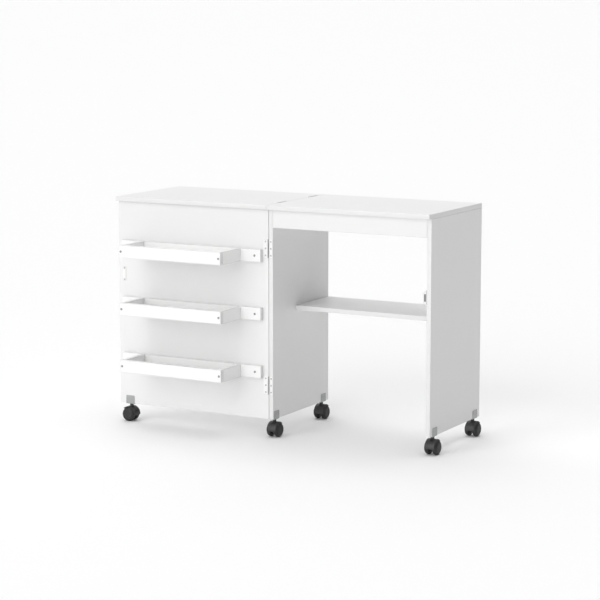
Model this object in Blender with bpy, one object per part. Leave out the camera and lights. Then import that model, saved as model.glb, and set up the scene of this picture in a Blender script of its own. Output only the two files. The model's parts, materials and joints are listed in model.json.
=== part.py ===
"""Folding sewing table on casters, opened out for work.

A narrow cabinet (two side panels, a top, a shelf, a front apron and a back rail) stands on four twin-wheel
casters. Its door hangs on the left panel's front edge and carries three storage trays. Swung open by half a
turn it stands in line with the cabinet front, on a caster of its own, under a leaf that folds over from the
cabinet top and doubles the work surface.

While it is built, X runs along the front with zero on the seam between cabinet and door, Y runs to the back
with zero on the panels' front edges, and Z is up from the floor. The whole table is then moved so that its
origin is at the bottom centre of its box. All sizes are in metres.
"""

import math

import bmesh
import bpy
from mathutils import Matrix, Vector

# ---- Driving dimensions ------------------------------------------------------------------------------------
TABLE_HEIGHT = 0.775          # floor to work surface
CABINET_WIDTH = 0.586         # outside of one side panel to the outside of the other
CABINET_DEPTH = 0.384         # side panels, front edge to back edge
BOARD = 0.015                 # thickness of every melamine-faced board
TOP_OVERHANG = 0.017          # top and leaf, in front of the panels
SEAM = 0.0015                 # open joint between cabinet and door, and between top and leaf
TOUCH = 0.0003                # gap kept between pieces that touch
BOARD_EDGE = 0.0006           # chamfer along the edges of every board

APRON_HEIGHT = 0.060          # front apron and back rail under the top
SHELF_TOP = 0.424             # floor to the upper face of the shelf
DOOR_TOP_GAP = 0.002          # door's top edge to the underside of the leaf

TRAY_HEIGHT = 0.042           # boards of the storage trays
TRAY_DEPTH = 0.128            # tray, from the door rail to the outside of the front board
TOP_TRAY_DROP = 0.132         # underside of the top to the upper edge of the highest tray
LOW_TRAY_RISE = 0.137         # door's lower edge to the underside of the lowest tray
TRAY_END_INSET = 0.076        # end of the rail to the end of the tray
TRAY_BOTTOM = 0.005           # thickness of the tray's bottom board
RAIL_CLEARANCE = 0.0037       # rail's free end to the right panel, door closed
RAIL_HINGE_GAP = 0.0068       # rail's hinged end to the left panel, door closed
SHELF_TRAY_GAP = 0.014        # closed trays to the front edge of the shelf

DOOR_HINGE_LENGTH = 0.060
DOOR_PLATE_WIDTH = 0.0166     # wing screwed to the door
CABINET_PLATE_WIDTH = 0.0124  # wing screwed to the panel's edge
DOOR_PLATE = 0.0012           # thickness of both wings
DOOR_KNUCKLE = 0.0024         # outer radius of the knuckles
DOOR_PIN = 0.0012             # radius of the pin
UPPER_HINGE_DROP = 0.129      # underside of the top to the middle of the upper hinge
LOWER_HINGE_RISE = 0.114      # lower end of the panel to the middle of the lower hinge

LEAF_HINGE_LENGTH = 0.060
LEAF_PLATE_WIDTH = 0.0155
LEAF_PLATE = 0.0017
LEAF_KNUCKLE = 0.0022
LEAF_PIN = 0.0010
LEAF_PIN_RISE = 0.0005        # axis of the flap hinges above the work surface
LEAF_PLATE_SINK = 0.0001      # wings below the work surface
LEAF_HINGE_INSET = 0.085      # middle of a flap hinge from the panels' front or back edge

KNUCKLES = 5                  # knuckles in every hinge, fixed and moving ones in turn
PLATE_SIDE_GAP = 0.0004       # wing to the other wing's knuckles
FIXING_HOLE = 0.0019          # radius of the screw holes in wings and brackets
HOLES_PER_WING = 3
HOLE_END_MARGIN = 0.007       # end of a wing to the middle of its last screw hole

CATCH_WIDTH = 0.012
CATCH_HEIGHT = 0.045
CATCH_DEPTH = 0.028
CATCH_PROUD = 0.0030          # catch in front of the panel's edge
STRIKE_WIDTH = 0.015
STRIKE_HEIGHT = 0.050
STRIKE_PLATE = 0.0012

WHEEL_RADIUS = 0.024
WHEEL_WIDTH = 0.017           # one wheel of a twin
WHEEL_EDGE = 0.006            # rounding beside the middle plate
WHEEL_SHOULDER = 0.010        # rounding between the tread and the outer face
WEB = 0.010                   # middle plate of the housing, between the wheels
WHEEL_SIDE_GAP = 0.001        # wheel to the middle plate
HOOD_GAP = 0.0009             # wheel to the inside of the hood
HOOD_WALL = 0.0027
HOOD_WIDTH = 0.034
HOOD_FRONT_DEG = -5           # hood's lower front edge, seen from the axle, above the horizontal
HOOD_BACK_DEG = 135
HUB_PLATE = 0.013             # radius of the housing's middle plate under the axle
TRAIL = 0.004                 # stem axis to axle
AXLE = 0.003                  # radius
HUB_SKIN = 0.002              # wall of the wheel over the end of its axle
STEM = 0.004                  # radius
NECK = 0.0062                 # radius
BOSS = 0.0092                 # radius
HEAD_ROOM = 0.0122            # top of the wheels to the bracket
BRACKET_WIDTH = 0.033
BRACKET_HEIGHT = 0.029
BRACKET_PLATE = 0.0015
LEFT_CASTER_INSET = 0.021     # front left stem from the panel's front edge
RIGHT_CASTER_INSET = 0.036    # front right stem, further in to clear the closed door's caster
BACK_CASTER_INSET = 0.037     # back stems from the panels' back edge
DOOR_CASTER_INSET = 0.0385    # stem from the door's free edge
CABINET_TRAIL_DEG = 90        # direction in which the cabinet's casters trail, from +X
DOOR_TRAIL_DEG = 180
ROUND_STEPS = 24              # sides of the wheels
SMALL_STEPS = 12              # sides of pins, knuckles and holes

# ---- Sizes that follow from them ---------------------------------------------------------------------------
BRACKET_BASE = 2 * WHEEL_RADIUS + HEAD_ROOM
PANEL_BOTTOM = BRACKET_BASE + BRACKET_PLATE + TOUCH
SLAB_BOTTOM = TABLE_HEIGHT - BOARD
PANEL_TOP = SLAB_BOTTOM - TOUCH
LEFT = SEAM / 2
RIGHT = LEFT + CABINET_WIDTH
INNER_LEFT = LEFT + BOARD + TOUCH
INNER_RIGHT = RIGHT - BOARD - TOUCH
DOOR_TOP = SLAB_BOTTOM - DOOR_TOP_GAP
DOOR_AXIS_Y = -(TOUCH + DOOR_KNUCKLE)
LEAF_AXIS_Z = TABLE_HEIGHT + LEAF_PIN_RISE
RAIL_NEAR = -(LEFT + BOARD + RAIL_HINGE_GAP)
RAIL_FAR = -(RIGHT - BOARD - RAIL_CLEARANCE)
RAIL_FACE = -TOUCH - BOARD
TRAY_REACH = -RAIL_FACE + TRAY_DEPTH
SHELF_FRONT = TRAY_REACH + 2 * DOOR_AXIS_Y + SHELF_TRAY_GAP
HOOD_RADIUS = WHEEL_RADIUS + HOOD_GAP + HOOD_WALL
TRAY_LEVELS = ("upper", "middle", "lower")
TOP_TRAY_BASE = SLAB_BOTTOM - TOP_TRAY_DROP - TRAY_HEIGHT
TRAY_PITCH = (TOP_TRAY_BASE - PANEL_BOTTOM - LOW_TRAY_RISE) / (len(TRAY_LEVELS) - 1)

CLASSES = {
    "white_board": ((0.86, 0.86, 0.86), 0.45, 0.0),
    "white_metal": ((0.88, 0.88, 0.87), 0.35, 0.2),
    "white_plastic": ((0.85, 0.85, 0.84), 0.40, 0.0),
    "zinc": ((0.55, 0.56, 0.57), 0.35, 1.0),
    "steel": ((0.50, 0.50, 0.51), 0.30, 1.0),
    "black_nylon": ((0.03, 0.03, 0.033), 0.42, 0.0),
}


# ---- Modelling helpers -------------------------------------------------------------------------------------
def clear_scene():
    for old in list(bpy.data.objects):
        bpy.data.objects.remove(old, do_unlink=True)


def finish_named(name):
    """The Principled material of one of the table's finishes, made once."""
    if name in bpy.data.materials:
        return bpy.data.materials[name]
    colour, roughness, metallic = CLASSES[name]
    material = bpy.data.materials.new(name)
    material.use_nodes = True
    shader = material.node_tree.nodes["Principled BSDF"]
    shader.inputs["Base Color"].default_value = (*colour, 1.0)
    shader.inputs["Roughness"].default_value = roughness
    shader.inputs["Metallic"].default_value = metallic
    return material


def empty_at(name, place, parent=None, turn=0.0):
    """An empty that carries moving pieces; its place is given in its parent's frame."""
    empty = bpy.data.objects.new(name, None)
    bpy.context.collection.objects.link(empty)
    empty.location = place
    empty.rotation_euler.z = turn
    empty.parent = parent
    return empty


def add_piece(name, mesh, finish, parent, place=(0, 0, 0), turn=0.0):
    """Adds a named piece to the table, with its place given in its parent's frame."""
    piece = bpy.data.objects.new(name, mesh)
    bpy.context.collection.objects.link(piece)
    if not mesh.materials:
        mesh.materials.append(finish_named(finish))
    piece.location = place
    piece.rotation_euler.z = turn
    piece.parent = parent
    return piece


def mesh_from(work, name, smooth=False):
    """Turns a bmesh into a mesh with its faces pointing out; round pieces are shaded smooth."""
    bmesh.ops.recalc_face_normals(work, faces=work.faces)
    mesh = bpy.data.meshes.new(name)
    work.to_mesh(mesh)
    work.free()
    if smooth:
        mesh.shade_smooth()
        mesh.set_sharp_from_angle(angle=math.radians(35))
    return mesh


def box_mesh(name, low, high, chamfer=0.0):
    """A box between two corners, with its edges chamfered."""
    low, high = Vector(low), Vector(high)
    work = bmesh.new()
    bmesh.ops.create_cube(work, size=1.0)
    bmesh.ops.scale(work, vec=high - low, verts=work.verts)
    bmesh.ops.translate(work, vec=(low + high) / 2, verts=work.verts)
    if chamfer:
        bmesh.ops.bevel(work, geom=work.edges, offset=chamfer, segments=1, affect="EDGES")
    return mesh_from(work, name)


def extruded_mesh(name, outline, length, turn=Matrix()):
    """A flat outline of (x, y) points, extruded up by length, centred on its plane and then turned."""
    work = bmesh.new()
    corners = [work.verts.new((x, y, -length / 2)) for x, y in outline]
    face = work.faces.new(corners)
    raised = bmesh.ops.extrude_face_region(work, geom=[face])["geom"]
    moved = [item for item in raised if isinstance(item, bmesh.types.BMVert)]
    bmesh.ops.translate(work, vec=(0, 0, length), verts=moved)
    bmesh.ops.transform(work, matrix=turn, verts=work.verts)
    return mesh_from(work, name)


def turned_mesh(name, profile, steps, turn=Matrix()):
    """A body turned about Z from (radius, height) points: those of a ring's whole section, in order round
    it, or those from one point on the axis to another."""
    work = bmesh.new()
    points = [work.verts.new((radius, 0, height)) for radius, height in profile]
    pairs = list(zip(points, points[1:]))
    if profile[0][0] > 0:
        pairs.append((points[-1], points[0]))
    edges = [work.edges.new(pair) for pair in pairs]
    bmesh.ops.spin(
        work, geom=points + edges, cent=(0, 0, 0), axis=(0, 0, 1), angle=2 * math.pi, steps=steps, use_merge=True
    )
    bmesh.ops.remove_doubles(work, verts=work.verts, dist=1e-7)
    bmesh.ops.transform(work, matrix=turn, verts=work.verts)
    return mesh_from(work, name, smooth=True)


def rod_mesh(name, sections, steps, turn=Matrix()):
    """A solid turned about Z, from (radius, height) sections listed from the bottom up."""
    work = bmesh.new()
    rings = []
    for radius, height in sections:
        angles = [2 * math.pi * k / steps for k in range(steps)]
        rings.append([work.verts.new((radius * math.cos(a), radius * math.sin(a), height)) for a in angles])
    for below, above in zip(rings, rings[1:]):
        for k in range(steps):
            work.faces.new((below[k - 1], below[k], above[k], above[k - 1]))
    work.faces.new(rings[0])
    work.faces.new(rings[-1])
    bmesh.ops.transform(work, matrix=turn, verts=work.verts)
    return mesh_from(work, name, smooth=True)


def combined_mesh(name, base, joined=(), cut=(), smooth=False):
    """One solid from a base mesh, with other meshes joined to it and more cut away."""
    body = bpy.data.objects.new(name, base)
    bpy.context.collection.objects.link(body)
    tools = []
    for operation, meshes in (("UNION", joined), ("DIFFERENCE", cut)):
        for mesh in meshes:
            tool = bpy.data.objects.new("tool", mesh)
            bpy.context.collection.objects.link(tool)
            tool.display_type = "WIRE"
            tool.hide_render = True
            tools.append(tool)
            modifier = body.modifiers.new(operation.lower(), "BOOLEAN")
            modifier.operation = operation
            modifier.object = tool
    result = bpy.data.meshes.new_from_object(body.evaluated_get(bpy.context.evaluated_depsgraph_get()))
    result.name = name
    result.materials.clear()
    for helper in [body, *tools]:
        bpy.data.objects.remove(helper, do_unlink=True)
    if smooth:
        result.shade_smooth()
        result.set_sharp_from_angle(angle=math.radians(35))
    return result


def shifted(place):
    return Matrix.Translation(place)


def arc(radius, start_deg, stop_deg, steps):
    """Points of an arc about the origin, from one angle to another."""
    angles = [math.radians(start_deg + (stop_deg - start_deg) * k / steps) for k in range(steps + 1)]
    return [(radius * math.cos(a), radius * math.sin(a)) for a in angles]


def add_board(name, low, high, parent, frame=(0, 0, 0)):
    """A chamfered board between two corners, given from the floor and the seam, in its parent's frame."""
    low, high, frame = Vector(low), Vector(high), Vector(frame)
    half = (high - low) / 2
    mesh = box_mesh(name, -half, half, BOARD_EDGE)
    return add_piece(name, mesh, "white_board", parent, low + half - frame)


# ---- Cabinet -----------------------------------------------------------------------------------------------
def build_cabinet(table):
    back = CABINET_DEPTH
    add_board("left_side_panel", (LEFT, 0, PANEL_BOTTOM), (LEFT + BOARD, back, PANEL_TOP), table)
    add_board("right_side_panel", (RIGHT - BOARD, 0, PANEL_BOTTOM), (RIGHT, back, PANEL_TOP), table)
    apron_bottom = SLAB_BOTTOM - APRON_HEIGHT
    add_board("front_apron", (INNER_LEFT, 0, apron_bottom), (INNER_RIGHT, BOARD, PANEL_TOP), table)
    add_board("back_rail", (INNER_LEFT, back - BOARD, apron_bottom), (INNER_RIGHT, back, PANEL_TOP), table)
    add_board("shelf", (INNER_LEFT, SHELF_FRONT, SHELF_TOP - BOARD), (INNER_RIGHT, back, SHELF_TOP), table)


def leaf_hinge_places():
    return {"front": LEAF_HINGE_INSET, "back": CABINET_DEPTH - LEAF_HINGE_INSET}


def build_slabs(table, leaf):
    """The top and the leaf, each with pockets at the seam that let the flap hinges in flush."""
    knuckle_bottom = LEAF_AXIS_Z - LEAF_KNUCKLE
    plate_bottom = TABLE_HEIGHT - LEAF_PLATE_SINK - LEAF_PLATE
    pocket_floor = min(knuckle_bottom, plate_bottom) - TOUCH
    pocket_end = LEAF_KNUCKLE + PLATE_SIDE_GAP + LEAF_PLATE_WIDTH + TOUCH
    low = Vector((LEFT, -TOP_OVERHANG, SLAB_BOTTOM))
    high = Vector((RIGHT, CABINET_DEPTH, TABLE_HEIGHT))
    for name, side, parent, frame in (
        ("top_panel", 1, table, Vector()),
        ("leaf_panel", -1, leaf, leaf.location),
    ):
        near = Vector((min(side * low.x, side * high.x), low.y, low.z))
        far = Vector((max(side * low.x, side * high.x), high.y, high.z))
        pockets = []
        for middle in leaf_hinge_places().values():
            reach = LEAF_HINGE_LENGTH / 2 + TOUCH
            ends = (-side * SEAM, side * pocket_end)
            pockets.append(
                box_mesh(
                    "pocket",
                    (min(ends), middle - reach, pocket_floor),
                    (max(ends), middle + reach, TABLE_HEIGHT + BOARD),
                )
            )
        slab = box_mesh(name, near, far, BOARD_EDGE)
        mesh = combined_mesh(name, slab, cut=pockets)
        mesh.transform(shifted(-frame))
        add_piece(name, mesh, "white_board", parent)


# ---- Hinges ------------------------------------------------------------------------------------------------
def hinge_wing_mesh(name, width, plate, knuckle, pin, length, offset, owns_ends, fixed_pin=False):
    """One wing of a butt hinge, about Z, with its plate on the +X side and its face towards +Y.

    offset is the plate's outer face from the pin's axis. The wing that owns the ends has the first, third and
    last knuckle, the other wing has those between. A fixed pin is one piece with the wing's own knuckles."""
    pitch = length / KNUCKLES
    own, other = [], []
    for k in range(KNUCKLES):
        middle = -length / 2 + (k + 0.5) * pitch
        (own if (k % 2 == 0) == owns_ends else other).append(middle)
    bore = pin + TOUCH
    edge = knuckle + PLATE_SIDE_GAP
    tab = (bore + knuckle) / 2 - TOUCH
    wing = box_mesh(name, (tab, offset - plate, -length / 2), (edge + width, offset, length / 2))
    joined, cut = [], []
    for middle in own:
        half = pitch / 2 - TOUCH / 2
        place = shifted((0, 0, middle))
        if fixed_pin:
            joined.append(rod_mesh("knuckle", [(knuckle, -half), (knuckle, half)], SMALL_STEPS, place))
        else:
            section = [(bore, -half), (knuckle, -half), (knuckle, half), (bore, half)]
            joined.append(turned_mesh("knuckle", section, SMALL_STEPS, place))
    if fixed_pin:
        joined.append(pin_mesh("pin", pin, length - pitch))
    for middle in other:
        half = pitch / 2 + TOUCH / 2
        end = 0 if abs(middle) + half < length / 2 - TOUCH else TOUCH
        cut.append(
            box_mesh("notch", (-edge, -2 * knuckle, middle - half - end), (edge, 2 * knuckle, middle + half + end))
        )
    for k in range(HOLES_PER_WING):
        height = (length / 2 - HOLE_END_MARGIN) * (2 * k / (HOLES_PER_WING - 1) - 1)
        turn = shifted((edge + width / 2, offset - plate / 2, height)) @ Matrix.Rotation(math.pi / 2, 4, "X")
        sections = [(FIXING_HOLE, -plate), (FIXING_HOLE, plate)]
        cut.append(rod_mesh("hole", sections, SMALL_STEPS, turn))
    return combined_mesh(name, wing, joined, cut, smooth=True)


def pin_mesh(name, radius, length):
    return rod_mesh(name, [(radius, -length / 2), (radius, length / 2)], SMALL_STEPS)


def mirrored_x(mesh):
    """A copy of a mesh, mirrored in X, with its faces still pointing out."""
    copy = mesh.copy()
    copy.transform(Matrix.Scale(-1, 4, (1, 0, 0)))
    copy.flip_normals()
    return copy


def build_door_hinges(table, door):
    """Two butt hinges: one wing on the left panel's front edge, the other on the door's face."""
    face = -TOUCH - DOOR_AXIS_Y
    size = (DOOR_PLATE, DOOR_KNUCKLE, DOOR_PIN, DOOR_HINGE_LENGTH, face)
    cabinet_wing = hinge_wing_mesh("cabinet_wing", CABINET_PLATE_WIDTH, *size, True)
    door_wing = mirrored_x(hinge_wing_mesh("door_wing", DOOR_PLATE_WIDTH, *size, False))
    pin = pin_mesh("door_pin", DOOR_PIN, DOOR_HINGE_LENGTH)
    heights = {"upper": SLAB_BOTTOM - UPPER_HINGE_DROP, "lower": PANEL_BOTTOM + LOWER_HINGE_RISE}
    for level, height in heights.items():
        add_piece(f"{level}_hinge_cabinet_plate", cabinet_wing, "white_metal", table, (0, DOOR_AXIS_Y, height))
        add_piece(f"{level}_hinge_door_plate", door_wing, "white_metal", door, (0, 0, height))
        add_piece(f"{level}_hinge_pin", pin, "steel", table, (0, DOOR_AXIS_Y, height))


def build_leaf_hinges(table, leaf):
    """Two flap hinges let in flush at the seam; the wing in the top carries the pin."""
    sink = -LEAF_PLATE_SINK - LEAF_PIN_RISE
    size = (LEAF_PLATE_WIDTH, LEAF_PLATE, LEAF_KNUCKLE, LEAF_PIN, LEAF_HINGE_LENGTH, sink)
    lie_down = Matrix.Rotation(math.pi / 2, 4, "X")
    top_wing = hinge_wing_mesh("top_wing", *size, True, fixed_pin=True)
    leaf_wing = mirrored_x(hinge_wing_mesh("leaf_wing", *size, False))
    for mesh in (top_wing, leaf_wing):
        mesh.transform(lie_down)
    for end, middle in leaf_hinge_places().items():
        add_piece(f"leaf_hinge_{end}_top_plate", top_wing, "white_metal", table, (0, middle, LEAF_AXIS_Z))
        add_piece(f"leaf_hinge_{end}_leaf_plate", leaf_wing, "white_metal", leaf, (0, middle, 0))


# ---- Door and its trays ------------------------------------------------------------------------------------
def build_door(door):
    add_board("door_panel", (-RIGHT, 0, PANEL_BOTTOM), (-LEFT, BOARD, DOOR_TOP), door, door.location)


def build_trays(door):
    """Three open trays: a rail along the door, and a front, two ends and a bottom that stand out from it."""
    left = RAIL_FAR + TRAY_END_INSET
    right = RAIL_NEAR - TRAY_END_INSET
    front = -TRAY_REACH
    front_back = front + BOARD
    rail_front = RAIL_FACE
    for level, name in enumerate(TRAY_LEVELS):
        base = TOP_TRAY_BASE - level * TRAY_PITCH
        top = base + TRAY_HEIGHT
        pieces = {
            "rail": ((RAIL_FAR, rail_front, base), (RAIL_NEAR, -TOUCH, top)),
            "front": ((left, front, base), (right, front_back, top)),
            "left_end": ((left, front_back + TOUCH, base), (left + BOARD, rail_front - TOUCH, top)),
            "right_end": ((right - BOARD, front_back + TOUCH, base), (right, rail_front - TOUCH, top)),
            "bottom": (
                (left + BOARD + TOUCH, front_back + TOUCH, base),
                (right - BOARD - TOUCH, rail_front - TOUCH, base + TRAY_BOTTOM),
            ),
        }
        for part, (low, high) in pieces.items():
            add_board(f"{name}_tray_{part}", low, high, door, door.location)


def build_catch(table, door):
    """A magnetic catch inside the right panel, and the strike plate that meets it on the closed door."""
    height = TOP_TRAY_BASE - (TRAY_PITCH - TRAY_HEIGHT) / 2
    half = Vector((CATCH_WIDTH, CATCH_DEPTH, CATCH_HEIGHT)) / 2
    middle = Vector((INNER_RIGHT - half.x, half.y - CATCH_PROUD, height))
    add_piece("catch_body", box_mesh("catch_body", -half, half, 2 * BOARD_EDGE), "white_plastic", table, middle)
    plate = Vector((STRIKE_WIDTH, STRIKE_PLATE, STRIKE_HEIGHT)) / 2
    place = Vector((-middle.x, -TOUCH - plate.y, height)) - door.location
    add_piece("strike_plate", box_mesh("strike_plate", -plate, plate), "white_metal", door, place)


# ---- Casters -----------------------------------------------------------------------------------------------
def bracket_mesh():
    """An angle bracket. Its foot lies under a board round the caster's stem, its wing on the board's +Y face."""
    wing = BOARD / 2 + TOUCH
    outline = [
        (-BOARD / 2, 0),
        (wing + BRACKET_PLATE, 0),
        (wing + BRACKET_PLATE, BRACKET_HEIGHT),
        (wing, BRACKET_HEIGHT),
        (wing, BRACKET_PLATE),
        (-BOARD / 2, BRACKET_PLATE),
    ]
    upright = Matrix(((0, 0, 1, 0), (1, 0, 0, 0), (0, 1, 0, 0), (0, 0, 0, 1)))
    angle = extruded_mesh("bracket", outline, BRACKET_WIDTH, upright)
    stem_hole = [(STEM + TOUCH, -BRACKET_PLATE), (STEM + TOUCH, 2 * BRACKET_PLATE)]
    cut = [rod_mesh("hole", stem_hole, SMALL_STEPS)]
    for side in (-1, 1):
        place = (side * BRACKET_WIDTH / 4, wing + BRACKET_PLATE / 2, 0.6 * BRACKET_HEIGHT)
        turn = shifted(place) @ Matrix.Rotation(math.pi / 2, 4, "X")
        through = [(FIXING_HOLE, -BRACKET_PLATE), (FIXING_HOLE, BRACKET_PLATE)]
        cut.append(rod_mesh("hole", through, SMALL_STEPS, turn))
    return combined_mesh("bracket", angle, cut=cut, smooth=True)


def housing_mesh():
    """The hooded middle of a twin-wheel caster, about its stem, trailing towards +Y.

    A block with the hood's side outline is joined to the turned boss, neck and stem, and the two wheel wells
    and the axle's bore are then cut out of it."""
    axle_height = WHEEL_RADIUS - BRACKET_BASE
    # the outline is drawn with its first axis towards the front (-Y) and its second one up
    outline = arc(HOOD_RADIUS, HOOD_FRONT_DEG, HOOD_BACK_DEG, 15)
    outline += arc(HUB_PLATE, HOOD_BACK_DEG + 45, HOOD_FRONT_DEG + 360 - 20, 8)
    upright = Matrix(((0, 0, 1, 0), (-1, 0, 0, 0), (0, 1, 0, 0), (0, 0, 0, 1)))
    at_axle = shifted((0, TRAIL, axle_height))
    block = extruded_mesh("housing", outline, HOOD_WIDTH, at_axle @ upright)
    boss_top = axle_height + HOOD_RADIUS
    boss = rod_mesh(
        "boss",
        [
            (BOSS / 2, boss_top - 0.66 * HOOD_RADIUS),
            (BOSS, boss_top - 0.30 * HOOD_RADIUS),
            (BOSS, boss_top - 0.06 * HOOD_RADIUS),
            (NECK, boss_top),
            (NECK, -TOUCH),
            (STEM, -TOUCH),
            (STEM, BRACKET_PLATE),
        ],
        SMALL_STEPS,
    )
    well = HOOD_WIDTH
    sideways = Matrix.Rotation(math.pi / 2, 4, "Y")
    cut = []
    for side in (-1, 1):
        middle = side * (WEB / 2 + well / 2)
        radius = WHEEL_RADIUS + HOOD_GAP
        sections = [(radius, -well / 2), (radius, well / 2)]
        cut.append(rod_mesh("well", sections, 2 * ROUND_STEPS, at_axle @ shifted((middle, 0, 0)) @ sideways))
    bore = [(AXLE + TOUCH, -WEB), (AXLE + TOUCH, WEB)]
    cut.append(rod_mesh("bore", bore, SMALL_STEPS, at_axle @ sideways))
    return combined_mesh("housing", block, [boss], cut, smooth=True)


def wheel_mesh():
    """One wheel of a twin, about the X axis: domed, with a blind bore for the axle in its inner face."""
    inner = WEB / 2 + WHEEL_SIDE_GAP
    outer = inner + WHEEL_WIDTH
    radius = WHEEL_RADIUS
    bore = AXLE + TOUCH
    profile = [(0, outer - HUB_SKIN), (bore, outer - HUB_SKIN), (bore, inner)]
    profile += [(radius - WHEEL_EDGE + x, inner + WHEEL_EDGE + y) for x, y in arc(WHEEL_EDGE, -90, 0, 2)]
    profile += [(radius - WHEEL_SHOULDER + x, outer - WHEEL_SHOULDER + y) for x, y in arc(WHEEL_SHOULDER, 0, 90, 3)]
    profile.append((0, outer))
    return turned_mesh("wheel", profile, ROUND_STEPS, Matrix.Rotation(math.pi / 2, 4, "Y"))


def build_casters(table, door):
    """Four casters under the side panels and one under the door, each on its angle bracket."""
    middle = BOARD / 2
    back = CABINET_DEPTH - BACK_CASTER_INSET
    on_panel = -math.pi / 2
    # name: (stem's place, turn of the bracket, trail direction, carrier)
    casters = {
        "front_left": ((LEFT + middle, LEFT_CASTER_INSET), on_panel, CABINET_TRAIL_DEG, table),
        "back_left": ((LEFT + middle, back), on_panel, CABINET_TRAIL_DEG, table),
        "front_right": ((RIGHT - middle, RIGHT_CASTER_INSET), on_panel, CABINET_TRAIL_DEG, table),
        "back_right": ((RIGHT - middle, back), on_panel, CABINET_TRAIL_DEG, table),
        "door": ((DOOR_CASTER_INSET - RIGHT, middle), math.pi, DOOR_TRAIL_DEG, door),
    }
    bracket, housing, wheel = bracket_mesh(), housing_mesh(), wheel_mesh()
    left_wheel = mirrored_x(wheel)
    sideways = Matrix.Rotation(math.pi / 2, 4, "Y")
    reach = WEB / 2 + WHEEL_SIDE_GAP + WHEEL_WIDTH - HUB_SKIN - TOUCH
    axle = rod_mesh("axle", [(AXLE, -reach), (AXLE, reach)], SMALL_STEPS, sideways)
    for name, (stem, bracket_turn, trail, carrier) in casters.items():
        base = Vector((*stem, BRACKET_BASE)) - (carrier.location if carrier is door else Vector())
        add_piece(f"{name}_caster_bracket", bracket, "zinc", carrier, base, bracket_turn)
        swivel = empty_at(f"{name}_swivel", base, carrier, math.radians(trail - 90))
        add_piece(f"{name}_caster_housing", housing, "black_nylon", swivel)
        axis = empty_at(f"{name}_axle_axis", (0, TRAIL, WHEEL_RADIUS - BRACKET_BASE), swivel)
        add_piece(f"{name}_caster_axle", axle, "steel", axis)
        add_piece(f"{name}_caster_right_wheel", wheel, "black_nylon", axis)
        add_piece(f"{name}_caster_left_wheel", left_wheel, "black_nylon", axis)


# ---- Assembly ----------------------------------------------------------------------------------------------
def stand_on_origin(table):
    """Moves the whole table so that the origin is at the bottom centre of its box."""
    bpy.context.view_layer.update()
    corners = []
    for piece in bpy.data.objects:
        if piece.type == "MESH":
            corners += [piece.matrix_world @ vertex.co for vertex in piece.data.vertices]
    low = Vector(min(c[k] for c in corners) for k in range(3))
    high = Vector(max(c[k] for c in corners) for k in range(3))
    table.location = -Vector(((low.x + high.x) / 2, (low.y + high.y) / 2, low.z))
    bpy.context.view_layer.update()


def main():
    clear_scene()
    table = empty_at("table", (0, 0, 0))
    door = empty_at("door_axis", (0, DOOR_AXIS_Y, 0), table)
    leaf = empty_at("leaf_axis", (0, 0, LEAF_AXIS_Z), table)
    build_cabinet(table)
    build_slabs(table, leaf)
    build_leaf_hinges(table, leaf)
    build_door(door)
    build_door_hinges(table, door)
    build_trays(door)
    build_catch(table, door)
    build_casters(table, door)
    stand_on_origin(table)


main()
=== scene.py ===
"""Looks of a folding sewing table: cabinet, door with storage trays, folding leaf and five casters."""
import json
import math

import bmesh
import bpy
from mathutils import Matrix, Vector

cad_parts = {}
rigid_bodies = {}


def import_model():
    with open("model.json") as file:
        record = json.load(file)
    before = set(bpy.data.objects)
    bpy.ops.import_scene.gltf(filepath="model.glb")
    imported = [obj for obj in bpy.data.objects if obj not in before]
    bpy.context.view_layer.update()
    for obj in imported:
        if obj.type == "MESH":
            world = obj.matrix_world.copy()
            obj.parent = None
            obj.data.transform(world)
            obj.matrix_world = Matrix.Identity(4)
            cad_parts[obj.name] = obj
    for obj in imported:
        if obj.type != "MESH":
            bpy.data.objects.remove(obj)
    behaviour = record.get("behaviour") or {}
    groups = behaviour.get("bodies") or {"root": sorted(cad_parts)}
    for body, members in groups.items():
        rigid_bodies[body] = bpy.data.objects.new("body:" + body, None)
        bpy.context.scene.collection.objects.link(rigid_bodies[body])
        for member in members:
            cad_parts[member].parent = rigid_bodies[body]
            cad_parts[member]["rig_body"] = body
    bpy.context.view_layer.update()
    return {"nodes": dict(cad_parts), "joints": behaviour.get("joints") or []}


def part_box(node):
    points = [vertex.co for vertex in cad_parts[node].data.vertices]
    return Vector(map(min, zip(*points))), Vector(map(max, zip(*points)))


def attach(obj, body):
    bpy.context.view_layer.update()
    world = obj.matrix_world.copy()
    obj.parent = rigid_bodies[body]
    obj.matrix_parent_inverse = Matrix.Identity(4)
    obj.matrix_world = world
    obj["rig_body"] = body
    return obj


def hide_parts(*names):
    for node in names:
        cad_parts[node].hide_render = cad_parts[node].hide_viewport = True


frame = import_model()
nodes = frame["nodes"]
joints = {joint["name"]: joint for joint in frame["joints"]}


# ---- Side panels -------------------------------------------------------------------------------------------
# The two sides of the cabinet are chipboard faced with white melamine. They are sawn to size, then a plastic
# band is glued round their edges and trimmed flush, which leaves a hairline of glue just inside the faces.
BAND = 0.0009                 # thickness of the edge band
GLUE_LINE = 0.00025
SOFT_EDGE = 0.0007            # rounding of the trimmed band


def node_of(material, kind, label, **values):
    """A labelled node of a material, with some of its inputs or settings set."""
    node = material.node_tree.nodes.new(kind)
    node.label = label
    for key, value in values.items():
        if key in node.inputs:
            node.inputs[key].default_value = value
        else:
            setattr(node, key, value)
    return node


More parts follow.
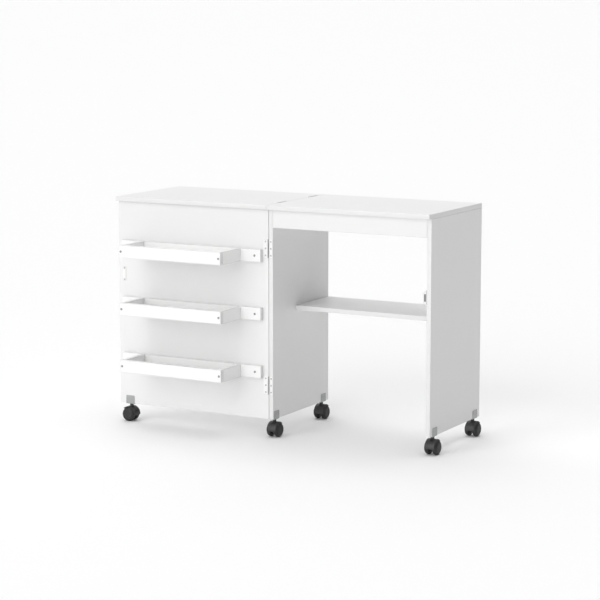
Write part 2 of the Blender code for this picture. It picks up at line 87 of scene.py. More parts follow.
def finish(name, dark, light, scale, low_rough, high_rough, metallic=0.0, stretch=(1, 1, 1), grain=None):
    """A Principled material whose colour and gloss vary in clouds of a given scale, in object space. The
    grain is the scale, strength and depth of a fine raised texture."""
    material = bpy.data.materials.new(name)
    material.use_nodes = True
    shader = material.node_tree.nodes["Principled BSDF"]
    shader.inputs["Metallic"].default_value = metallic
    link = material.node_tree.links.new
    place = node_of(material, "ShaderNodeTexCoord", "place")
    spread = node_of(material, "ShaderNodeMapping", "grain direction", Scale=stretch)
    noise = node_of(material, "ShaderNodeTexNoise", "clouds", Scale=scale, Detail=5.0, Roughness=0.55)
    tint = node_of(material, "ShaderNodeMix", "tint", data_type="RGBA")
    tint.inputs[6].default_value = (*dark, 1.0)
    tint.inputs[7].default_value = (*light, 1.0)
    gloss = node_of(material, "ShaderNodeMapRange", "gloss")
    gloss.inputs["To Min"].default_value = low_rough
    gloss.inputs["To Max"].default_value = high_rough
    link(place.outputs["Object"], spread.inputs["Vector"])
    link(spread.outputs["Vector"], noise.inputs["Vector"])
    link(noise.outputs["Fac"], tint.inputs[0])
    link(tint.outputs[2], shader.inputs["Base Color"])
    link(noise.outputs["Fac"], gloss.inputs["Value"])
    link(gloss.outputs["Result"], shader.inputs["Roughness"])
    if grain:
        fine_scale, strength, depth = grain
        fine = node_of(material, "ShaderNodeTexNoise", "surface grain", Scale=fine_scale, Detail=2.0)
        bump = node_of(material, "ShaderNodeBump", "raised grain", Strength=strength, Distance=depth)
        link(spread.outputs["Vector"], fine.inputs["Vector"])
        link(fine.outputs["Fac"], bump.inputs["Height"])
        link(bump.outputs["Normal"], shader.inputs["Normal"])
    return material


melamine = finish("white_melamine", (0.83, 0.83, 0.828), (0.85, 0.85, 0.85), 6, 0.36, 0.48,
                  grain=(900, 0.18, 0.0001))
edge_band = finish("white_edge_band", (0.79, 0.79, 0.787), (0.812, 0.812, 0.81), 25, 0.30, 0.42,
                   grain=(420, 0.12, 0.0001))
glue_line = finish("glue_line", (0.55, 0.55, 0.54), (0.68, 0.68, 0.67), 60, 0.5, 0.7)


def deselect_all():
    bpy.ops.object.select_all(action="DESELECT")


def make_active(piece):
    deselect_all()
    piece.select_set(True)
    bpy.context.view_layer.objects.active = piece


def named(name):
    """Names the object that an operator has just added, and its mesh."""
    piece = bpy.context.active_object
    piece.name = name
    piece.data.name = name
    return piece


def settle():
    """Puts the active object's place, turn and size into its mesh."""
    bpy.ops.object.transform_apply(location=True, rotation=True, scale=True)


def cube_between(name, low, high):
    """A box from one corner to the other, placed in its mesh."""
    deselect_all()
    bpy.ops.mesh.primitive_cube_add(size=1, location=(Vector(low) + Vector(high)) / 2)
    piece = named(name)
    piece.scale = Vector(high) - Vector(low)
    settle()
    return piece


def select_faces(piece, test):
    """In edit mode, selects the faces whose middle and normal pass a test."""
    bpy.ops.mesh.select_mode(type="FACE")
    mesh = bmesh.from_edit_mesh(piece.data)
    for face in mesh.faces:
        face.select_set(bool(test(face.calc_center_median(), face.normal)))
    mesh.select_flush_mode()
    bmesh.update_edit_mesh(piece.data)


def select_edges(piece, test):
    """In edit mode, selects the edges whose two ends pass a test."""
    bpy.ops.mesh.select_mode(type="EDGE")
    mesh = bmesh.from_edit_mesh(piece.data)
    for edge in mesh.edges:
        edge.select_set(bool(test(edge.verts[0].co, edge.verts[1].co)))
    bmesh.update_edit_mesh(piece.data)


def apply_modifiers(piece):
    make_active(piece)
    for modifier in list(piece.modifiers):
        bpy.ops.object.modifier_apply(modifier=modifier.name)


def remove(*pieces):
    for piece in pieces:
        bpy.data.objects.remove(piece, do_unlink=True)


def cut_away(piece, tools):
    """Cuts the tools out of a piece and removes them."""
    for tool in tools:
        modifier = piece.modifiers.new("cut", "BOOLEAN")
        modifier.operation = "DIFFERENCE"
        modifier.object = tool
    apply_modifiers(piece)
    remove(*tools)


def weld_on(piece, parts):
    """Joins other solids to a piece as one body and removes them."""
    for part in parts:
        modifier = piece.modifiers.new("weld", "BOOLEAN")
        modifier.operation = "UNION"
        modifier.object = part
    apply_modifiers(piece)
    remove(*parts)


def smooth(piece, degrees=35):
    make_active(piece)
    bpy.ops.object.shade_smooth_by_angle(angle=math.radians(degrees))


def hand_over(piece, node):
    """The finished piece stands for a CAD node and rides on that node's body."""
    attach(piece, nodes[node]["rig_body"])
    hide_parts(node)


def banded_board(node, pockets=(), facing_material=melamine):
    """A board over a CAD node's box: two melamine faces, a band on the edges and a glue line between them."""
    low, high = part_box(node)
    size = high - low
    thin = min(range(3), key=lambda k: size[k])
    piece = cube_between(node + "_board", low, high)
    for material in (facing_material, edge_band, glue_line):
        piece.data.materials.append(material)
    bpy.ops.object.mode_set(mode="EDIT")
    bpy.ops.mesh.select_all(action="SELECT")
    bpy.ops.mesh.bevel(offset=SOFT_EDGE, segments=3, affect="EDGES")
    bpy.ops.mesh.select_all(action="SELECT")
    piece.active_material_index = 1
    bpy.ops.object.material_slot_assign()
    for width, slot in ((BAND - SOFT_EDGE / 2, 2), (GLUE_LINE, 0)):
        select_faces(piece, lambda middle, normal: abs(normal[thin]) > 0.999 and
                     (middle - (low + high) / 2).length < size[thin] * 0.51)
        bpy.ops.mesh.inset(thickness=width, use_individual=True)
        piece.active_material_index = slot
        bpy.ops.object.material_slot_assign()
    bpy.ops.object.mode_set(mode="OBJECT")
    if pockets:
        cut_away(piece, pockets)
    smooth(piece)
    hand_over(piece, node)
    return piece


for side_panel in ("left_side_panel", "right_side_panel"):
    banded_board(side_panel)


# ---- Apron, back rail and shelf ----------------------------------------------------------------------------
# Three boards of the same stock between the side panels. Each is held by cam fittings let into its hidden
# face, close to both ends, and every cam hole is closed with a white push-in plastic cap.
CAP_RADIUS = 0.0088
CAP_HEIGHT = 0.0011
CAP_FROM_END = 0.034

NEAR = 0.00001                # two lengths closer than this are the same

cap_plastic = finish("white_cap_plastic", (0.80, 0.80, 0.79), (0.84, 0.84, 0.83), 90, 0.32, 0.45,
                     grain=(1500, 0.1, 0.0001))


def round_at(name, radius, low, high, sides=48, axis="Z"):
    """A cylinder along one axis, from the middle of one end to the middle of the other."""
    low, high = Vector(low), Vector(high)
    turn = {"X": (0, math.pi / 2, 0), "Y": (math.pi / 2, 0, 0), "Z": (0, 0, 0)}[axis]
    deselect_all()
    bpy.ops.mesh.primitive_cylinder_add(
        vertices=sides, radius=radius, depth=(high - low).length, location=(low + high) / 2, rotation=turn
    )
    piece = named(name)
    settle()
    return piece


def copy_moved(template, name, matrix):
    """A copy of a piece with a mesh of its own, moved by a matrix."""
    piece = template.copy()
    piece.data = template.data.copy()
    piece.data.transform(matrix)
    piece.name = name
    piece.data.name = name
    bpy.context.scene.collection.objects.link(piece)
    return piece


def join(name, pieces):
    """Joins pieces of one kind into one object."""
    make_active(pieces[0])
    for piece in pieces:
        piece.select_set(True)
    bpy.ops.object.join()
    return named(name)


def round_edges(piece, *rounds):
    """Rounds the edges whose two ends pass a test, for each radius, number of segments and test in turn."""
    make_active(piece)
    bpy.ops.object.mode_set(mode="EDIT")
    for radius, segments, test in rounds:
        select_edges(piece, test)
        bpy.ops.mesh.bevel(offset=radius, segments=segments, affect="EDGES")
    bpy.ops.object.mode_set(mode="OBJECT")


def facing(direction):
    """A matrix that turns +Z to a direction."""
    return Vector((0, 0, 1)).rotation_difference(Vector(direction)).to_matrix().to_4x4()


cap = round_at("cap", CAP_RADIUS, (0, 0, 0), (0, 0, CAP_HEIGHT))
cap.data.materials.append(cap_plastic)
bpy.ops.object.mode_set(mode="EDIT")
select_faces(cap, lambda middle, normal: normal.z > 0.9)
bpy.ops.mesh.inset(thickness=0.0016, depth=0.0)
bpy.ops.mesh.inset(thickness=0.0004, depth=-0.0004)
bpy.ops.mesh.inset(thickness=0.0020, depth=0.0002)
bpy.ops.object.mode_set(mode="OBJECT")
round_edges(cap, (0.0006, 3, lambda a, b: min(a.z, b.z) > CAP_HEIGHT - NEAR
                  and min(a.xy.length, b.xy.length) > CAP_RADIUS - 0.0001))
smooth(cap)

for rail, direction in (("front_apron", (0, 1, 0)), ("back_rail", (0, -1, 0)), ("shelf", (0, 0, -1))):
    banded_board(rail)
    low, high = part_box(rail)
    middle = (low + high) / 2
    caps = []
    for x in (low.x + CAP_FROM_END, high.x - CAP_FROM_END):
        if rail == "shelf":
            spots = [(x, low.y + 0.05, low.z), (x, high.y - 0.05, low.z)]
        else:
            face = high.y if direction[1] > 0 else low.y
            spots = [(x, face, middle.z)]
        for spot in spots:
            caps.append(copy_moved(cap, "cap", Matrix.Translation(spot) @ facing(direction)))
    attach(join(rail + "_cam_caps", caps), "cabinet")
remove(cap)


# ---- Top and leaf ------------------------------------------------------------------------------------------
# Two slabs of the same board, edge to edge on the seam, that make one long work surface. Each has two shallow
# pockets milled at the seam, a hair larger than the hinge wings that lie in them.
POCKET_GAP = 0.0003


def pocket_for(plate, side):
    """A cutter round a hinge wing, open at the seam and above."""
    low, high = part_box(plate)
    middle = joints["leaf_fold"]["pos_m"][0]
    ends = sorted((middle - side * 0.002, (high.x if side > 0 else low.x) + side * POCKET_GAP))
    gap = Vector((0, POCKET_GAP, POCKET_GAP))
    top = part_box("top_panel")[1].z + 0.01
    return cube_between("pocket", Vector((ends[0], low.y, low.z)) - gap, (ends[1], high.y + POCKET_GAP, top))


for slab, side, wing in (("top_panel", 1, "top_plate"), ("leaf_panel", -1, "leaf_plate")):
    banded_board(slab, [pocket_for(f"leaf_hinge_{end}_{wing}", side) for end in ("front", "back")])


# ---- Door and trays ----------------------------------------------------------------------------------------
# The door is one banded board. Each of its three trays is a rail along the door with a box of four boards in
# front; round-headed cross screws hold the rail to the door and the front board to the tray's two ends.
SCREW_RADIUS = 0.0038
SCREW_HEIGHT = 0.0021
RAIL_SCREW_INSET = 0.0225

tray_white = finish("tray_white", (0.91, 0.91, 0.905), (0.93, 0.93, 0.928), 14, 0.32, 0.44,
                    grain=(900, 0.15, 0.0001))
screw_steel = finish("screw_steel", (0.30, 0.30, 0.31), (0.48, 0.48, 0.49), 700, 0.28, 0.5, 0.9,
                     grain=(3000, 0.2, 0.00005))


def cross_headed(name, radius, low, high, rim, segments, cross_length, cross_width, cross_depth):
    """A screw head between two heights: a disc with its upper rim rounded over and a cross driven into it."""
    head = round_at(name, radius, (0, 0, low), (0, 0, high), 32)
    head.data.materials.append(screw_steel)
    round_edges(head, (rim, segments, lambda a, b: min(a.z, b.z) > high - NEAR))
    arms = [cube_between("arm", (-a, -b, high - cross_depth), (a, b, high + 0.001))
            for a, b in ((cross_length / 2, cross_width / 2), (cross_width / 2, cross_length / 2))]
    weld_on(arms[0], [arms[1]])
    cut_away(head, [arms[0]])
    smooth(head)
    return head


screw = cross_headed("screw", SCREW_RADIUS, 0, SCREW_HEIGHT, 0.0017, 5, 0.0044, 0.0010, 0.0013)


def screws(name, spots, direction, body, head, size=1.0):
    """A group of screw heads on one face, each left at a turn of its own."""
    heads = [copy_moved(head, "head", Matrix.Translation(spot) @ facing(direction)
                        @ Matrix.Rotation(math.radians(17 + 38 * k), 4, "Z") @ Matrix.Scale(size, 4))
             for k, spot in enumerate(spots)]
    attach(join(name, heads), body)


banded_board("door_panel")
for level in ("upper", "middle", "lower"):
    for part in ("rail", "front", "left_end", "right_end", "bottom"):
        banded_board(f"{level}_tray_{part}", facing_material=tray_white)
    low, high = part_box(f"{level}_tray_front")
    ends = [sum(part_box(f"{level}_tray_{end}"), Vector()) / 2 for end in ("left_end", "right_end")]
    screws(f"{level}_tray_front_screws", [(end.x, low.y, end.z) for end in ends], (0, -1, 0), "door", screw)
    low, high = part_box(f"{level}_tray_rail")
    middle = (low.z + high.z) / 2
    spots = [(x, low.y, middle) for x in (low.x + RAIL_SCREW_INSET, high.x - RAIL_SCREW_INSET)]
    screws(f"{level}_tray_rail_screws", spots, (0, -1, 0), "door", screw)


# ---- Door hinges -------------------------------------------------------------------------------------------
# Two butt hinges pressed from steel. The wings are powder coated white and their barrels are bare metal, turned
# round a steel pin. One wing is screwed to the left panel's front edge and the other to the face of the door.
HINGE_LENGTH = 0.060
HINGE_PLATE = 0.0012          # thickness
HINGE_BACK = 0.0024           # back of the wings, behind the pin
CABINET_WING = 0.0124         # width
DOOR_WING = 0.0166            # width
BARREL = 0.0024               # radius
BARRELS = 5
BARREL_GAP = 0.0003
PLATE_TO_BARREL = 0.0004
PIN_BORE = 0.0014
WING_CORNER = 0.0018
WING_RIM = 0.0002
SCREW_PITCH = 0.023
COUNTERSUNK = 0.0027
COUNTERSUNK_PROUD = 0.0004

white_enamel = finish("white_powder_coat", (0.885, 0.885, 0.88), (0.915, 0.915, 0.91), 40, 0.28, 0.42,
                      grain=(1400, 0.15, 0.0001))
pin_steel = finish("bare_steel", (0.34, 0.34, 0.35), (0.50, 0.50, 0.51), 500, 0.24, 0.45, 1.0,
                   grain=(2500, 0.2, 0.00005))


def hinge_wing(name, width, plate, barrel, bore, back, own, barrel_finish):
    """One wing of a hinge whose pin is on Z: a plate on the +X side with its back at y = back, and the barrels
    of its own. Its free corners are rounded, and each barrel is rolled out of a tongue of the plate."""
    pitch = HINGE_LENGTH / BARRELS
    half = HINGE_LENGTH / 2
    near = barrel + PLATE_TO_BARREL
    far = near + width
    wing = cube_between(name, (near, back - plate, -half), (far, back, half))
    round_edges(wing,
                (WING_CORNER, 4, lambda a, b: min(a.x, b.x) > far - NEAR and abs(a.z - b.z) < NEAR),
                (WING_RIM, 2, lambda a, b: max(a.y, b.y) < back - plate + NEAR))
    parts = []
    for k in own:
        low = k * pitch - half + BARREL_GAP / 2
        high = low + pitch - BARREL_GAP
        parts.append(cube_between("tongue", (barrel * 0.6, back - plate, low), (near + 0.001, back, high)))
        roll = round_at("barrel", barrel, (0, 0, low), (0, 0, high), 32)
        round_edges(roll, (WING_RIM, 2, lambda a, b: abs(a.z - b.z) < NEAR))
        parts.append(roll)
    for part in (wing, *parts):
        part.data.materials.append(white_enamel)
        part.data.materials.append(barrel_finish)
        for face in part.data.polygons:
            face.material_index = 1 if part.name.startswith("barrel") else 0
    weld_on(wing, parts)
    if bore:
        cut_away(wing, [round_at("bore", bore, (0, 0, -2 * half), (0, 0, 2 * half), 24)])
    smooth(wing)
    return wing


def mirror_x(piece):
    """Turns a piece into its mirror image in X."""
    piece.data.transform(Matrix.Scale(-1, 4, (1, 0, 0)))
    make_active(piece)
    bpy.ops.object.mode_set(mode="EDIT")
    bpy.ops.mesh.select_all(action="SELECT")
    bpy.ops.mesh.normals_make_consistent(inside=False)
    bpy.ops.object.mode_set(mode="OBJECT")
    return piece


flat_screw = cross_headed("flat_screw", COUNTERSUNK, -0.0004, COUNTERSUNK_PROUD, 0.0003, 3,
                          0.0034, 0.0008, 0.0005)

hinge_axis = Vector(joints["door_swing"]["pos_m"])
section = (HINGE_PLATE, BARREL, PIN_BORE, HINGE_BACK)
cabinet_wing = hinge_wing("cabinet_wing", CABINET_WING, *section, (0, 2, 4), pin_steel)
door_wing = mirror_x(hinge_wing("door_wing", DOOR_WING, *section, (1, 3), pin_steel))
wings = (("cabinet", cabinet_wing, CABINET_WING, 1), ("door", door_wing, DOOR_WING, -1))
for level in ("upper", "lower"):
    pin_low, pin_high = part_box(f"{level}_hinge_pin")
    axis = Vector((hinge_axis.x, hinge_axis.y, (pin_low.z + pin_high.z) / 2))
    for owner, wing, width, side in wings:
        plate = copy_moved(wing, f"{level}_hinge_{owner}_wing", Matrix.Translation(axis))
        hand_over(plate, f"{level}_hinge_{owner}_plate")
        x = axis.x + side * (BARREL + PLATE_TO_BARREL + width / 2)
        spots = [(x, axis.y + HINGE_BACK - HINGE_PLATE, axis.z + rise * SCREW_PITCH) for rise in (-1, 0, 1)]
        screws(f"{level}_hinge_{owner}_screws", spots, (0, -1, 0), owner, flat_screw)
    nodes[f"{level}_hinge_pin"].material_slots[0].material = pin_steel
remove(cabinet_wing, door_wing)


# ---- Leaf hinges -------------------------------------------------------------------------------------------
# Two low flap hinges let in flush across the seam, white all over with white screws, so that they hardly show
# in the work surface. Their thin barrels stand a little above it, which lets the leaf fold flat on the top.
LEAF_PLATE = 0.0017           # thickness
LEAF_WING = 0.0155            # width
LEAF_BARREL = 0.0022          # radius
LEAF_BORE = 0.0013
LEAF_PIN = 0.0010             # radius
LEAF_PIN_LENGTH = 0.048
LEAF_BACK = -0.0006           # upper face of the wings, from the pin

white_screw = copy_moved(flat_screw, "white_screw", Matrix.Scale(0.9, 4))
white_screw.data.materials[0] = white_enamel
lie_down = Matrix.Rotation(math.pi / 2, 4, "X")
top_wing = hinge_wing("top_wing", LEAF_WING, LEAF_PLATE, LEAF_BARREL, 0, LEAF_BACK, (0, 2, 4), white_enamel)
leaf_wing = mirror_x(hinge_wing("leaf_wing", LEAF_WING, LEAF_PLATE, LEAF_BARREL, LEAF_BORE, LEAF_BACK, (1, 3),
                                white_enamel))
leaf_pin = round_at("leaf_pin", LEAF_PIN, (0, 0, -LEAF_PIN_LENGTH / 2), (0, 0, LEAF_PIN_LENGTH / 2), 24)
weld_on(top_wing, [leaf_pin])
smooth(top_wing)
for end in ("front", "back"):
    low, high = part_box(f"leaf_hinge_{end}_top_plate")
    axis = Vector((hinge_axis.x, (low.y + high.y) / 2, joints["leaf_fold"]["pos_m"][2]))
    for owner, wing, body, side in (("top", top_wing, "cabinet", 1), ("leaf", leaf_wing, "leaf", -1)):
        plate = copy_moved(wing, f"leaf_hinge_{end}_{owner}_wing", Matrix.Translation(axis) @ lie_down)
        hand_over(plate, f"leaf_hinge_{end}_{owner}_plate")
        x = axis.x + side * (LEAF_BARREL + PLATE_TO_BARREL + LEAF_WING / 2)
        spots = [(x, axis.y + step * SCREW_PITCH, axis.z + LEAF_BACK) for step in (-1, 0, 1)]
        screws(f"leaf_hinge_{end}_{owner}_screws", spots, (0, 0, 1), body, white_screw)
remove(top_wing, leaf_wing, white_screw)


# ---- Magnetic catch ----------------------------------------------------------------------------------------
# A white moulded housing, screwed through its two sloping ears inside the right panel, holds a ferrite magnet
# between two steel pole plates. On the door, a pressed white strike plate with two screws meets it.
EAR_SLOPE = 0.0075
EAR_SCREW_INSET = 0.0045      # screw to the end of the housing
SOCKET = 0.0026               # radius of the recess round each screw
SOCKET_FLOOR = 0.003          # plastic left under a screw
MAGNET_HALF = 0.0120          # half the magnet's height
MAGNET_FROM_PANEL = 0.0009
MAGNET_FROM_FREE_SIDE = 0.0045
MAGNET_DEPTH = 0.0014
POLE = 0.0012                 # thickness of a pole plate
STRIKE_CORNER = 0.0035
STRIKE_SCREW = 0.020          # from the middle of the plate
BAR_WIDTH = 0.0088
BAR_HEIGHT = 0.031
BAR_STEP = 0.0006
BAR_INSET = 0.0008
BAR_CORNER = 0.0015

# The strike plate's flat takes this duller white and its raised bar the brighter white enamel: painted shade on
# the flat and painted highlight on the bar of one pressed plate.
strike_flat_painted_shade = finish("strike_plate_painted_shade", (0.79, 0.79, 0.785), (0.815, 0.815, 0.81), 50, 0.34, 0.46,
                      grain=(1200, 0.15, 0.0001))
ferrite = finish("ferrite", (0.13, 0.13, 0.135), (0.20, 0.20, 0.205), 300, 0.45, 0.65,
                 grain=(2000, 0.3, 0.0001))

low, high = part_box("catch_body")
middle = (low + high) / 2
housing = cube_between("catch_housing", low, high)
housing.data.materials.append(cap_plastic)
round_edges(housing,
            (EAR_SLOPE, 1, lambda a, b: max(a.x, b.x) < low.x + NEAR and abs(a.z - b.z) < NEAR),
            (0.0005, 3, lambda a, b: True))
slot_low = Vector((low.x + MAGNET_FROM_FREE_SIDE, low.y - 0.001, middle.z - MAGNET_HALF))
slot_high = Vector((high.x - MAGNET_FROM_PANEL, low.y + MAGNET_DEPTH, middle.z + MAGNET_HALF))
ear_z = (high.z - low.z) / 2 - EAR_SCREW_INSET
screw_heights = [middle.z + side * ear_z for side in (-1, 1)]
sockets = [round_at("socket", SOCKET, (low.x - 0.001, middle.y, z), (high.x - SOCKET_FLOOR, middle.y, z),
                    32, "X") for z in screw_heights]
cut_away(housing, [cube_between("slot", slot_low, slot_high), *sockets])
smooth(housing)
hand_over(housing, "catch_body")
screws("catch_screws", [(high.x - SOCKET_FLOOR - 0.0002, middle.y, z) for z in screw_heights],
       (-1, 0, 0), "cabinet", flat_screw, size=0.85)

# the magnet and its two pole plates, each with its edges broken: lowest and highest x, and how far sunk in
for name, near, far, sunk, material in (
    ("magnet", slot_low.x + POLE + 0.0002, slot_high.x - POLE - 0.0002, 0.0004, ferrite),
    ("inner_pole", slot_low.x + 0.0001, slot_low.x + POLE, 0.0001, pin_steel),
    ("outer_pole", slot_high.x - POLE, slot_high.x - 0.0001, 0.0001, pin_steel),
):
    core = cube_between("catch_" + name, (near, low.y + sunk, slot_low.z + 0.0002),
                        (far, slot_high.y, slot_high.z - 0.0002))
    core.data.materials.append(material)
    round_edges(core, (0.00015, 2, lambda a, b: True))
    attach(core, "cabinet")

low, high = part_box("strike_plate")
middle = (low + high) / 2
flat_face = low.y + BAR_STEP
strike = cube_between("strike", (low.x, flat_face, low.z), high)
bar = cube_between("bar", (low.x + BAR_INSET, low.y, middle.z - BAR_HEIGHT / 2),
                   (low.x + BAR_INSET + BAR_WIDTH, high.y, middle.z + BAR_HEIGHT / 2))
# painted shade and painted highlight: the flat in the duller white, the raised bar in the brighter enamel
for part, front, corner, kind in ((strike, flat_face, STRIKE_CORNER, 0), (bar, low.y, BAR_CORNER, 1)):
    part.data.materials.append(strike_flat_painted_shade)
    part.data.materials.append(white_enamel)
    round_edges(part,
                (corner, 6, lambda a, b: abs(a.x - b.x) < NEAR and abs(a.z - b.z) < NEAR),
                (0.0002, 2, lambda a, b: max(a.y, b.y) < front + NEAR))
    for face in part.data.polygons:
        face.material_index = kind
weld_on(strike, [bar])
smooth(strike)
hand_over(strike, "strike_plate")
screws("strike_screws", [(middle.x, flat_face, middle.z + side * STRIKE_SCREW) for side in (-1, 1)],
       (0, -1, 0), "door", flat_screw)
remove(screw)


# ---- Caster brackets ---------------------------------------------------------------------------------------
# Each caster hangs from a bracket folded from zinc-plated strip. The foot lies under the board and takes the
# stem, and the wing stands up against the board's face, held by two cross-headed screws.
BRACKET_WIDTH = 0.033
BRACKET_HEIGHT = 0.029
BRACKET_PLATE = 0.0015
BRACKET_SCREW_RISE = 0.6      # share of the wing's height
STEM = 0.004                  # radius
STEM_GAP = 0.0003
BOARD_HALF = 0.0075
WING_FACE = BOARD_HALF + 0.0003

zinc = finish("zinc_plate", (0.37, 0.375, 0.38), (0.47, 0.475, 0.48), 120, 0.34, 0.52, 0.85, (1, 1, 0.4),
              grain=(900, 0.12, 0.0001))

bracket = cube_between("bracket", (-BRACKET_WIDTH / 2, -BOARD_HALF, 0),
                       (BRACKET_WIDTH / 2, WING_FACE + BRACKET_PLATE, BRACKET_PLATE))
bracket.data.materials.append(zinc)
bpy.ops.object.mode_set(mode="EDIT")
bpy.ops.mesh.select_all(action="SELECT")
bpy.ops.mesh.bisect(plane_co=(0, WING_FACE, 0), plane_no=(0, 1, 0))
select_faces(bracket, lambda middle, normal: normal.z > 0.9 and middle.y > WING_FACE)
bpy.ops.mesh.extrude_region_move(TRANSFORM_OT_translate={"value": (0, 0, BRACKET_HEIGHT - BRACKET_PLATE)})
bpy.ops.object.mode_set(mode="OBJECT")
# the fold's outside, then the free corners of the wing and of the foot
round_edges(bracket,
            (0.0020, 5, lambda a, b: max(a.z, b.z) < NEAR and min(a.y, b.y) > WING_FACE + 0.001),
            (0.0030, 5, lambda a, b: min(a.z, b.z) > BRACKET_HEIGHT - NEAR and abs(a.x - b.x) < NEAR),
            (0.0030, 5, lambda a, b: max(a.y, b.y) < NEAR - BOARD_HALF and abs(a.x - b.x) < NEAR))
cut_away(bracket, [round_at("stem_hole", STEM + STEM_GAP, (0, 0, -0.001), (0, 0, 0.003), 32)])
smooth(bracket)

# name: turn of the bracket about its stem, and the body that it is fixed to
casters = {
    "front_left": (-90, "cabinet"),
    "back_left": (-90, "cabinet"),
    "front_right": (-90, "cabinet"),
    "back_right": (-90, "cabinet"),
    "door": (180, "door"),
}
for name, (turn, body) in casters.items():
    swivel = Matrix.Translation(joints[f"{name}_caster_swivel"]["pos_m"])
    place = swivel @ Matrix.Rotation(math.radians(turn), 4, "Z")
    hand_over(copy_moved(bracket, f"{name}_caster_angle", place), f"{name}_caster_bracket")
    outwards = place.to_3x3() @ Vector((0, 1, 0))
    rise = BRACKET_SCREW_RISE * BRACKET_HEIGHT
    spots = [place @ Vector((side * BRACKET_WIDTH / 4, WING_FACE + BRACKET_PLATE, rise)) for side in (-1, 1)]
    screws(f"{name}_bracket_screws", spots, outwards, body, flat_screw)
remove(bracket, flat_screw)


# ---- Casters -----------------------------------------------------------------------------------------------
# Five twin-wheel casters moulded from black nylon. The hood covers the front and top of two domed wheels and
# swells into a neck round the steel stem; the wheels run on the ends of one steel axle.
WHEEL_RADIUS = 0.024
WHEEL_WIDTH = 0.017
WHEEL_GAP = 0.001             # wheel to web
WHEEL_DOME = 0.010            # rounding of the outer rim
WHEEL_INNER_ROUND = 0.006
WELL_GAP = 0.0009             # wheel to hood
WEB = 0.010                   # thickness of the wall between the wheels
WEB_RADIUS = 0.013
HOOD_RADIUS = 0.0276
HOOD_WIDTH = 0.034
HOOD_FRONT = math.radians(-5)
HOOD_BACK = math.radians(135)
NECK = 0.0062                 # radius
NECK_TOP = -0.0003
FLARE = 0.0108                # radius of the neck's foot on the hood
FLARE_HEIGHT = 0.0042
TRAIL = 0.004
AXLE_BORE = 0.0033            # radius
HUB_SKIN = 0.002              # plastic left outside a wheel's bore

nylon = finish("black_nylon", (0.025, 0.025, 0.027), (0.037, 0.037, 0.039), 60, 0.32, 0.48,
               grain=(1600, 0.25, 0.0001))
# The wheels are moulded from the same black nylon as the hood. This darker copy of it is painted shade, for the
# shadow that the hood casts on them.
wheel_nylon_painted_shade = finish("black_nylon_painted_shade", (0.013, 0.013, 0.015), (0.022, 0.022, 0.024), 60, 0.42, 0.58,
               grain=(1600, 0.25, 0.0001))

# the stem's foot is the origin, the wheels trail to +Y and the axle lies along X
hub = Vector((0, TRAIL, WHEEL_RADIUS - joints["door_caster_swivel"]["pos_m"][2]))
across = Vector((1, 0, 0))
hood = round_at("hood", HOOD_RADIUS, hub - across * HOOD_WIDTH / 2, hub + across * HOOD_WIDTH / 2, 96, "X")
hood.data.materials.append(nylon)
round_edges(hood, (0.0011, 4, lambda a, b: abs(a.x - b.x) < NEAR))
bpy.ops.object.mode_set(mode="EDIT")
for angle, keep_above in ((HOOD_FRONT, True), (HOOD_BACK, False)):
    bpy.ops.mesh.select_all(action="SELECT")
    bpy.ops.mesh.bisect(plane_co=hub, plane_no=(0, math.sin(angle), math.cos(angle)), use_fill=True,
                        clear_inner=keep_above, clear_outer=not keep_above)
bpy.ops.object.mode_set(mode="OBJECT")
deselect_all()
bpy.ops.mesh.primitive_cone_add(vertices=48, radius1=FLARE, radius2=NECK, depth=FLARE_HEIGHT,
                                location=(0, 0, hub.z + HOOD_RADIUS - 0.0009))
flare = named("flare")
settle()
neck = round_at("neck", NECK, (0, 0, hub.z + WEB_RADIUS), (0, 0, NECK_TOP), 48)
round_edges(neck, (0.0006, 3, lambda a, b: min(a.z, b.z) > NECK_TOP - NEAR))
web = round_at("web", WEB_RADIUS, hub - across * WEB / 2, hub + across * WEB / 2, 64, "X")
weld_on(hood, [web, neck, flare])
wells = [round_at("well", WHEEL_RADIUS + WELL_GAP, hub + across * side * WEB / 2, hub + across * side * 0.03,
                  96, "X") for side in (-1, 1)]
cut_away(hood, [*wells, round_at("bore", AXLE_BORE, hub - across * WEB, hub + across * WEB, 32, "X")])
smooth(hood)

# a wheel: both rims of a disc rounded, a shallow ring pressed in its dome, and a blind bore for the axle
inner = WEB / 2 + WHEEL_GAP
outer = inner + WHEEL_WIDTH
wheel = round_at("wheel", WHEEL_RADIUS, hub + across * inner, hub + across * outer, 72, "X")
# the wheel takes the darker copy of the nylon: painted shade under the hood
wheel.data.materials.append(wheel_nylon_painted_shade)
round_edges(wheel,
            (WHEEL_DOME, 8, lambda a, b: min(a.x, b.x) > outer - NEAR),
            (WHEEL_INNER_ROUND, 5, lambda a, b: max(a.x, b.x) < inner + NEAR))
bpy.ops.object.mode_set(mode="EDIT")
select_faces(wheel, lambda middle, normal: normal.x > 0.999 and (middle - hub).yz.length < 0.001)
bpy.ops.mesh.inset(thickness=0.0030)
bpy.ops.mesh.inset(thickness=0.0004, depth=-0.0003)
bpy.ops.mesh.inset(thickness=0.0005)
bpy.ops.mesh.inset(thickness=0.0004, depth=0.0003)
bpy.ops.object.mode_set(mode="OBJECT")
bore_start = hub + across * (inner - 0.001)
cut_away(wheel, [round_at("bore", AXLE_BORE, bore_start, hub + across * (outer - HUB_SKIN), 32, "X")])
smooth(wheel)

stem = round_at("stem", STEM, (0, 0, NECK_TOP), (0, 0, BRACKET_PLATE), 32)
stem.data.materials.append(pin_steel)
round_edges(stem, (0.0004, 3, lambda a, b: min(a.z, b.z) > BRACKET_PLATE - NEAR))
smooth(stem)

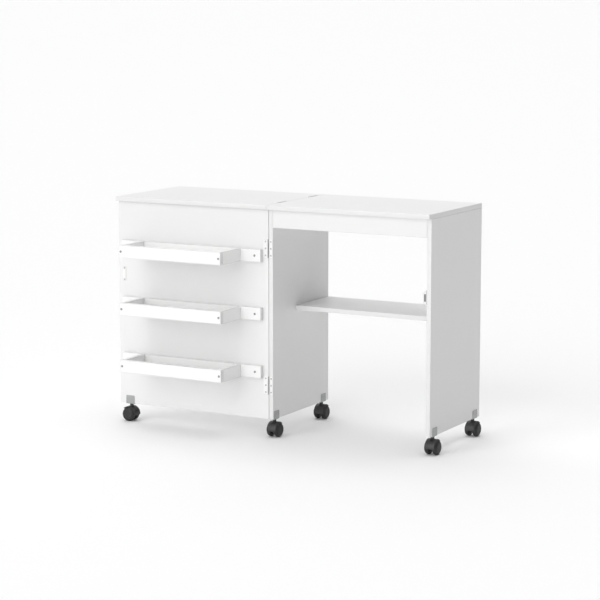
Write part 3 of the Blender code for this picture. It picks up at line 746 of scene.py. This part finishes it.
for name in casters:
    rolling = joints[f"{name}_left_wheel_spin"]["axis"]
    place = (Matrix.Translation(joints[f"{name}_caster_swivel"]["pos_m"])
             @ Matrix.Rotation(math.atan2(rolling[1], rolling[0]), 4, "Z"))
    hand_over(copy_moved(hood, f"{name}_caster_hood", place), f"{name}_caster_housing")
    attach(copy_moved(stem, f"{name}_caster_stem", place), f"{name}_caster")
    hand_over(copy_moved(wheel, f"{name}_right_roller", place), f"{name}_caster_right_wheel")
    left = mirror_x(copy_moved(wheel, f"{name}_left_roller", Matrix()))
    left.data.transform(place)
    hand_over(left, f"{name}_caster_left_wheel")
    nodes[f"{name}_caster_axle"].material_slots[0].material = pin_steel
remove(hood, wheel, stem)


# ---- Floor, light and camera -------------------------------------------------------------------------------
# A plain near-white studio floor under broad soft lights: most of the light comes from above and from the
# front left, and a little from behind, so that the shadows stay pale and lie in front of the cabinet.
deselect_all()
bpy.ops.mesh.primitive_plane_add(size=4000, location=(0, 0, 0))
floor = named("studio_floor")
floor.data.materials.append(finish("floor_paint", (0.95, 0.95, 0.95), (0.95, 0.95, 0.95), 1, 0.9, 0.9))

world = bpy.data.worlds.new("studio")
bpy.context.scene.world = world
world.use_nodes = True
world.node_tree.nodes["Background"].inputs["Color"].default_value = (0.12, 0.12, 0.12, 1.0)

# where each soft light comes from, how wide it is in degrees, and how bright
for label, towards, width, energy in (
    ("overhead", (0.0, 0.0, 1.0), 60, 1.04),
    ("overhead_back", (0.0, 0.45, 1.0), 70, 0.72),
    ("front_high", (0.1, -0.8, 1.0), 70, 0.40),
    ("front", (-0.2, -1.0, 0.35), 60, 1.68),
    ("left_back", (-1.0, 0.7, 0.5), 80, 0.85),
):
    bpy.ops.object.light_add(type="SUN", location=Vector(towards) * 4)
    light = bpy.context.active_object
    light.name = label + "_light"
    light.data.energy = energy
    light.data.angle = math.radians(width)
    light.rotation_euler = Vector(towards).to_track_quat("Z", "Y").to_euler()

bpy.ops.object.camera_add(location=(3.2826, -5.8477, 1.4771))
camera = bpy.context.active_object
camera.rotation_euler = (math.radians(90 - 8.745), 0, math.radians(28.99))
camera.data.sensor_width = 36
camera.data.lens = 122.3
camera.data.clip_end = 3000
bpy.context.scene.camera = camera
bpy.context.scene.view_settings.view_transform = "Standard"
